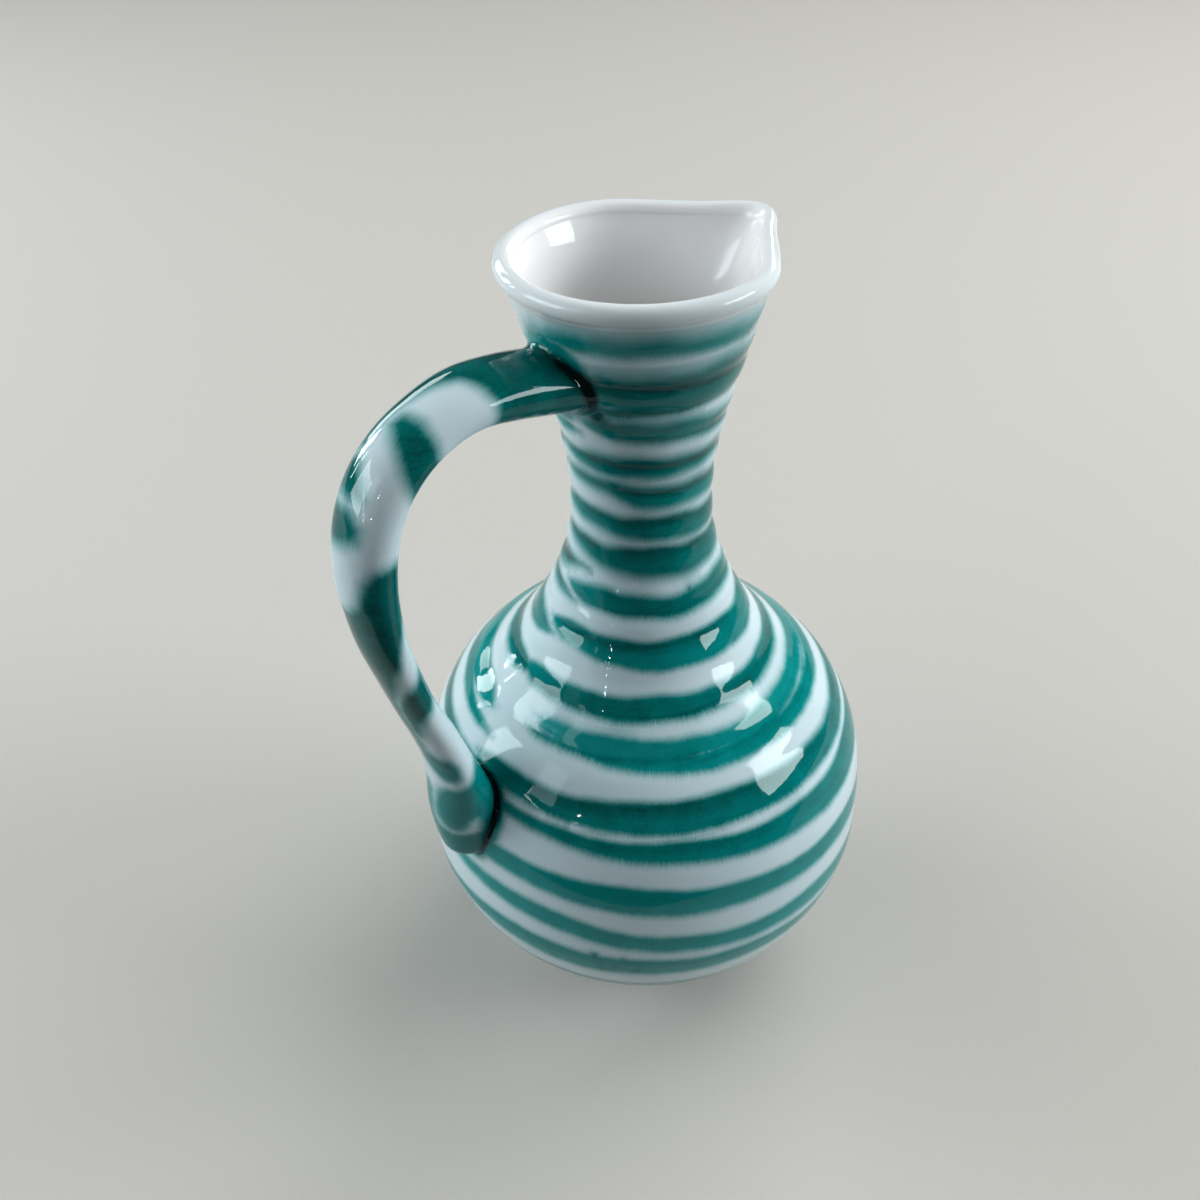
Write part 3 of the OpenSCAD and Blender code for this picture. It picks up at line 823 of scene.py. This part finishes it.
def foot_piece():
    """The turned ring: a rounded tread, bare of glaze."""
    inner, outer = FOOT_R - FOOT_WIDTH, FOOT_R
    # radius and height of each corner of its section, in mm
    section = [(outer - 0.05, 4.0), (outer, 3.4), (outer - 0.05, 1.6), (outer - 0.35, 0.7),
               (outer - 1.0, 0.15), (outer - 1.8, 0), ((inner + outer) / 2, 0), (inner + 1.6, 0),
               (inner + 0.9, 0.2), (inner + 0.35, 0.8), (inner + 0.05, 1.8), (inner, 3.2), (inner, 4.6)]
    dense = []
    for (a, b), (c, d) in zip(section, section[1:]):
        dense += [(lerp(a, c, s), lerp(b, d, s)) for s in RING_SHARES]
    dense.append(section[-1])
    n = RING_COLUMNS
    az = np.radians(np.arange(n) * 360.0 / n)
    verts = np.concatenate([np.stack([r * np.cos(az), r * np.sin(az), np.full(n, z)], -1)
                            for r, z in dense])
    rows = len(dense)
    faces = [grid_faces(rows, n)[:, ::-1], ring_faces((rows - 1) * n, 0, n)[:, ::-1]]
    return new_piece("turned_foot_ring", verts, faces, None, {})


foot = foot_piece()


class Nodes:
    """Short calls for one material's nodes."""

    def __init__(self, name):
        self.material = bpy.data.materials.new(name)
        self.material.use_nodes = True
        self.tree = self.material.node_tree
        self.shader = self.tree.nodes["Principled BSDF"]

    def link(self, value, socket):
        if isinstance(value, bpy.types.NodeSocket):
            self.tree.links.new(value, socket)
        else:
            socket.default_value = value

    def add(self, kind, inputs=(), out=0, **settings):
        node = self.tree.nodes.new(kind)
        for key, value in settings.items():
            setattr(node, key, value)
        for key, value in dict(inputs).items():
            self.link(value, node.inputs[key])
        return node.outputs[out]

    def math(self, operation, a, b=0.0, c=0.0):
        return self.add("ShaderNodeMath", {0: a, 1: b, 2: c}, operation=operation)

    def vector(self, operation, a, b=(0, 0, 0)):
        return self.add("ShaderNodeVectorMath", {0: a, 1: b}, operation=operation)

    def value(self, name):
        return self.add("ShaderNodeAttribute", out="Fac", attribute_name=name)

    def noise(self, vector, scale, detail=2.0, rough=0.5):
        return self.add("ShaderNodeTexNoise",
                        {"Vector": vector, "Scale": scale, "Detail": detail, "Roughness": rough})

    def wave(self, *settings):
        """Noise round 0."""
        return self.math("SUBTRACT", self.noise(*settings), 0.5)

    def total(self, value, parts):
        """The value with these others added, each times its share."""
        for other, share in parts:
            value = self.math("MULTIPLY_ADD", other, share, value)
        return value

    def place_mm(self):
        """The point on the surface, in mm."""
        place = self.add("ShaderNodeTexCoord", out="Object")
        return self.vector("MULTIPLY", place, (1 / MM, 1 / MM, 1 / MM))

    def split(self, vector):
        return self.add("ShaderNodeSeparateXYZ", {0: vector}).node.outputs

    def join(self, x, y, z=0.0):
        return self.add("ShaderNodeCombineXYZ", {0: x, 1: y, 2: z})

    def ramp(self, value, low, high, to_low=0.0, to_high=1.0):
        return self.add("ShaderNodeMapRange",
                        {"Value": value, "From Min": low, "From Max": high, "To Min": to_low,
                         "To Max": to_high}, interpolation_type="SMOOTHSTEP")

    def bump(self, height_mm):
        bump = self.add("ShaderNodeBump", {"Strength": 1.0, "Distance": MM, "Height": height_mm})
        self.link(bump, self.shader.inputs["Normal"])

    def mix(self, share, a, b):
        """A colour between a and b. The node has other sockets of the same names for plain numbers."""
        node = self.tree.nodes.new("ShaderNodeMix")
        node.data_type = "RGBA"
        self.link(share, node.inputs[0])
        self.link(a, node.inputs[6])
        self.link(b, node.inputs[7])
        return node.outputs[2]

    def colours(self, value, stops):
        node = self.tree.nodes.new("ShaderNodeValToRGB")
        ramp = node.color_ramp
        ramp.elements[0].position, ramp.elements[0].color = stops[0][0], (*stops[0][1], 1)
        ramp.elements[1].position, ramp.elements[1].color = stops[-1][0], (*stops[-1][1], 1)
        for place, colour in stops[1:-1]:
            ramp.elements.new(place).color = (*colour, 1)
        self.link(value, node.inputs[0])
        return node.outputs[0]


# The green from thin to thick paint, as depth of the paint and colour
GREENS = [
    (0.0, (0.30, 0.60, 0.63)), (0.20, (0.09, 0.40, 0.41)), (0.40, (0.006, 0.265, 0.262)),
    (0.60, (0.0, 0.190, 0.188)), (0.76, (0.0, 0.115, 0.110)), (0.90, (0.0, 0.052, 0.050)),
    (1.0, (0.0, 0.008, 0.008))]
# The white outside and inside, each clouded between two colours: the outside's blue-green cast is the
# glaze's own, its darkness against the inner white is partly painted shade. Then the grey of painted
# shade deep inside, and the specks
COOL_SHADED_WHITE = (0.525, 0.665, 0.725, 1), (0.575, 0.705, 0.755, 1)
INNER_WHITE = (0.775, 0.785, 0.80, 1), (0.815, 0.82, 0.83, 1)
DEEP_SHADE_GREY, SPECK = (0.53, 0.515, 0.495, 1), (0.16, 0.17, 0.16, 1)
# The bare clay, clouded between two colours, and its grog
BARE_CLAY, GROG = ((0.52, 0.40, 0.31, 1), (0.62, 0.50, 0.40, 1)), (0.36, 0.25, 0.18, 1)


def glaze():
    """White glaze with green paint, which lies where the attribute paint is above 0."""
    m = Nodes("painted_tin_glaze")
    mm = m.place_mm()
    x, y, z = m.split(mm)
    turn_x, turn_y, _ = m.split(m.vector("NORMALIZE", m.join(x, y)))
    # long up and down the wall, and long round it
    streak_at = m.join(m.math("MULTIPLY", turn_x, 60.0), m.math("MULTIPLY", turn_y, 60.0),
                       m.math("MULTIPLY", z, 0.16))
    brush_at = m.join(m.math("MULTIPLY", x, 0.06), m.math("MULTIPLY", y, 0.06), z)
    below, feather = m.value("below"), m.value("feather")
    streaks, brush = m.wave(streak_at, 2.4, 3.0, 0.6), m.wave(brush_at, 1.3, 3.0, 0.6)
    blots, grains = m.wave(mm, 0.16, 2.0), m.wave(mm, 1.6, 2.0)

    # where paint is: its edge frays, most on the lower side, and fades over the feather
    fray = m.math("MULTIPLY", streaks, m.math("MULTIPLY_ADD", below, 1.1, 0.4))
    edge = m.total(m.math("ADD", m.value("paint"), fray), ((blots, 0.8), (grains, 0.45)))
    mask = m.ramp(edge, m.math("MULTIPLY", feather, -2.5), m.math("MULTIPLY", feather, 1.15))

    # how thick it is: its tone with grain, thinner towards its edge, thick in the pools, whose darkness
    # is also painted shade
    # the grooves' share is gathered glaze and partly painted shade
    depth = m.total(m.value("tone"), (
        (m.value("dip"), 0.15), (brush, 0.17), (blots, 0.22), (grains, 0.16), (below, -0.06)))
    body = m.ramp(edge, m.math("MULTIPLY", feather, -1.9), m.math("MULTIPLY_ADD", feather, 1.2, 0.6),
                  0.45, 1.0)
    depth = m.total(m.math("MULTIPLY", depth, body), ((m.value("pool_and_shade"), 0.75),))
    green = m.colours(depth, GREENS)

    cloud = m.noise(mm, 0.05, 2.0)
    # painted shade: the inner white greys towards the bottom inside
    inner = m.mix(m.value("deep_shade"), m.mix(cloud, *INNER_WHITE), DEEP_SHADE_GREY)
    # the outside white, darker than the inner white as partly painted shade, turns to it at the rim and
    # inside
    white = m.mix(m.value("inside"), m.mix(cloud, *COOL_SHADED_WHITE), inner)
    # specks in some cells, and pinholes in the others
    cells = m.add("ShaderNodeTexVoronoi", {"Vector": mm, "Scale": 0.11}, out="Distance")
    chance = m.add("ShaderNodeSeparateColor", {0: cells.node.outputs["Color"]})
    picked = m.math("GREATER_THAN", chance, 0.62)
    speck = m.math("MULTIPLY", m.ramp(cells, 0.028, 0.016), picked)
    white = m.mix(m.math("MULTIPLY", speck, 0.55), white, SPECK)
    m.link(m.mix(mask, white, green), m.shader.inputs["Base Color"])

    # slow waves, orange peel, the paint's own thickness and pinholes, in mm
    height = m.math("MULTIPLY_ADD", m.noise(mm, 0.11, 2.0), 0.10,
                    m.math("MULTIPLY", m.noise(mm, 0.55, 2.0), 0.012))
    pin = m.math("MULTIPLY", m.ramp(cells, 0.03, 0.01), m.math("SUBTRACT", 1.0, picked))
    m.bump(m.total(height, ((mask, 0.03), (pin, -0.05))))
    gloss = m.math("MULTIPLY_ADD", m.noise(mm, 0.4, 2.0), 0.04, 0.012)
    m.link(gloss, m.shader.inputs["Roughness"])
    m.shader.inputs["IOR"].default_value = 1.5
    m.shader.inputs["Specular IOR Level"].default_value = 0.23
    m.shader.inputs["Specular Tint"].default_value = (0.82, 0.97, 1.0, 1)
    return m.material


def clay():
    """Fired clay without glaze, for the foot ring."""
    m = Nodes("bare_fired_clay")
    mm = m.place_mm()
    grog = m.noise(mm, 1.8, 4.0, 0.65)
    base = m.mix(m.noise(mm, 0.12, 2.0), *BARE_CLAY)
    m.link(m.mix(m.ramp(grog, 0.58, 0.72), base, GROG), m.shader.inputs["Base Color"])
    m.link(m.ramp(grog, 0.3, 0.7, 0.75, 0.95), m.shader.inputs["Roughness"])
    m.bump(m.math("MULTIPLY", grog, 0.12))
    return m.material


GLAZE, CLAY = glaze(), clay()
for piece in (belly, neck, mouth, strap, top_slip, low_slip):
    piece.data.materials.append(GLAZE)
foot.data.materials.append(CLAY)

for piece, node, slot in (
        (belly, "belly", "white_glaze"), (neck, "neck", "white_glaze"),
        (mouth, "mouth_and_spout", "white_glaze"),
        (foot, "foot_ring", "bare_clay"), (strap, "handle", "white_glaze"),
        (top_slip, "upper_joint", "green_glaze"), (low_slip, "lower_joint", "green_glaze")):
    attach(piece, "root")
    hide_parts(node)


def direction(front_angle, elevation):
    """Unit vector from the jug towards this front angle and elevation: 90 is the photo's right."""
    a, e = math.radians(front_angle + FRONT), math.radians(elevation)
    return np.array([math.cos(a) * math.cos(e), math.sin(a) * math.cos(e), math.sin(e)])


# How far the table reaches from the jug's axis, in mm: towards the camera, and every other way
TABLE_EDGE, TABLE_REACH = 160.0, 4000.0
TABLE_COLOURS = (0.485, 0.474, 0.451, 1), (0.513, 0.502, 0.478, 1)


def floor_piece():
    """The table that the jug stands on."""
    m = Nodes("pale_table")
    m.link(m.mix(m.noise(m.place_mm(), 0.9, 3.0), *TABLE_COLOURS), m.shader.inputs["Base Color"])
    m.shader.inputs["Roughness"].default_value = 0.8
    m.shader.inputs["Specular IOR Level"].default_value = 0.1
    ahead, side = direction(0, 0), direction(90, 0)
    verts = [ahead * forth + side * across for forth, across in (
        (TABLE_EDGE, -TABLE_REACH), (TABLE_EDGE, TABLE_REACH),
        (-TABLE_REACH, TABLE_REACH), (-TABLE_REACH, -TABLE_REACH))]
    obj = new_piece("table", verts, [np.array([[0, 1, 2, 3]])], None, {})
    obj.data.materials.append(m.material)


floor_piece()
# What every lamp points at, in metres
LAMP_TARGET = np.array([0, 0, 0.12])


def lamp(name, front_angle, elevation, distance, width, height, radiance, use, colour, tilt=0):
    """An area lamp that looks at the jug. Tilt turns it about its own line of sight, in degrees."""
    data = bpy.data.lights.new(name, "AREA")
    data.shape = "RECTANGLE"
    data.size, data.size_y = width, height
    data.energy = radiance * math.pi * width * height
    data.color = colour
    obj = bpy.data.objects.new(name, data)
    bpy.context.scene.collection.objects.link(obj)
    obj.visible_diffuse, obj.visible_glossy = use
    z = direction(front_angle, elevation)
    place = LAMP_TARGET + z * distance
    x = np.cross([0, 0, 1.0], z)
    x /= np.linalg.norm(x)
    y = np.cross(z, x)
    c, s = math.cos(math.radians(tilt)), math.sin(math.radians(tilt))
    x, y = c * x - s * y, s * x + c * y
    obj.matrix_world = Matrix([[x[i], y[i], z[i], place[i]] for i in range(3)] + [[0, 0, 0, 1]])


# Whether a lamp lights matt surfaces, and whether it shows in gloss
MATT, GLOSS = (True, False), (False, True)
# Name, front angle and elevation in degrees, distance, width and height in metres, strength, use,
# colour, and a tilt where there is one
LAMPS = [
    ("window_right", 87, 17, 1.6, 0.86, 0.52, 14.5, MATT, (0.96, 0.99, 1.0)),
    ("window_right_shine", 80, 19.5, 1.58, 0.84, 0.41, 17.0, GLOSS, (1.0, 0.98, 0.96)),
    ("window_left", -102, 15, 1.6, 1.05, 0.75, 7.0, MATT, (0.93, 0.98, 1.0)),
    ("window_left_shine", -80, 20, 1.58, 0.90, 0.70, 10.0, GLOSS, (0.95, 0.99, 1.0)),
    ("window_left_haze", -56, 30, 1.58, 0.42, 0.5, 3.5, GLOSS, (0.88, 0.98, 1.0)),
    ("far_left_shine", -144, 17, 1.58, 0.88, 0.34, 6.5, GLOSS, (0.95, 1.0, 1.0), 45),
    ("far_right_shine", 153, 19, 1.58, 0.6, 0.3, 5.0, GLOSS, (1.0, 1.0, 0.98)),
    ("pane_wide", -124, 14, 1.58, 0.22, 0.5, 17.0, GLOSS, (0.97, 0.99, 1.0)),
    ("pane_thin", -113, 14, 1.58, 0.04, 0.5, 18.0, GLOSS, (0.97, 0.99, 1.0)),
    ("panel_left", -120, 38, 1.8, 1.2, 1.0, 1.4, MATT, (0.94, 0.99, 1.0)),
    ("panel_front", -60, 30, 1.8, 1.3, 0.9, 2.2, MATT, (0.93, 0.99, 1.0)),
    ("panel_back", 136, 45, 1.8, 1.6, 1.0, 4.2, MATT, (1.0, 0.985, 0.96)),
    ("ceiling", 60, 84, 1.8, 1.4, 1.4, 0.9, MATT, (1.0, 0.985, 0.96)),
    ("small_lamp_low", -33, 9, 1.6, 0.03, 0.04, 60.0, GLOSS, (1.0, 1.0, 0.98)),
    ("small_lamp_mid", -33, 15, 1.6, 0.03, 0.04, 80.0, GLOSS, (1.0, 1.0, 0.98)),
    ("small_lamp_high", -33, 24, 1.6, 0.03, 0.05, 80.0, GLOSS, (1.0, 1.0, 0.98)),
    ("slanted_strip", -62, 17.5, 1.6, 0.035, 0.95, 12.0, GLOSS, (1.0, 1.0, 1.0), -54),
]
for lamp_values in LAMPS:
    lamp(*lamp_values)

ROOM_COLOUR, ROOM_STRENGTH = (0.94, 0.98, 1.0, 1), 0.07
world = bpy.data.worlds.new("dim_room")
bpy.context.scene.world = world
world.use_nodes = True
background = world.node_tree.nodes["Background"]
background.inputs["Color"].default_value = ROOM_COLOUR
background.inputs["Strength"].default_value = ROOM_STRENGTH

# The photo's camera: its place in mm as right, away and up from the point at this height on the jug's
# axis, its turns in radians, its focal length and the photo's width in pixels
CAMERA_PLACE, CAMERA_LEVEL = (0, -285.62, 133.91), 230.0
PITCH, YAW, ROLL = 0.69030, -0.04051, 0.03224
FOCAL, PHOTO_WIDTH, SENSOR = 1338.72, 1200.0, 36.0


def camera_piece():
    cp, sp, cy, sy, cr, sr = (f(v) for v in (PITCH, YAW, ROLL) for f in (math.cos, math.sin))
    ahead = np.array([sy * cp, cy * cp, -sp])
    right = np.array([cy, -sy, 0])
    down = np.cross(ahead, right)
    right, down = cr * right + sr * down, -sr * right + cr * down
    turn = math.radians(FRONT + 90)
    c, s = math.cos(turn), math.sin(turn)
    spin = np.array([[c, -s, 0], [s, c, 0], [0, 0, 1]])
    place = spin @ np.array(CAMERA_PLACE) + np.array([0, 0, CAMERA_LEVEL])
    axes = [spin @ v for v in (right, -down, -ahead)]
    data = bpy.data.cameras.new("camera")
    data.sensor_fit = "HORIZONTAL"
    data.sensor_width = SENSOR
    data.lens = SENSOR * FOCAL / PHOTO_WIDTH
    data.clip_start, data.clip_end = 0.01, 50
    obj = bpy.data.objects.new("camera", data)
    bpy.context.scene.collection.objects.link(obj)
    obj.matrix_world = Matrix([[*(axis[i] for axis in axes), place[i] * MM] for i in range(3)]
                              + [[0, 0, 0, 1]])
    bpy.context.scene.camera = obj


camera_piece()
bpy.context.scene.view_settings.view_transform = "Standard"
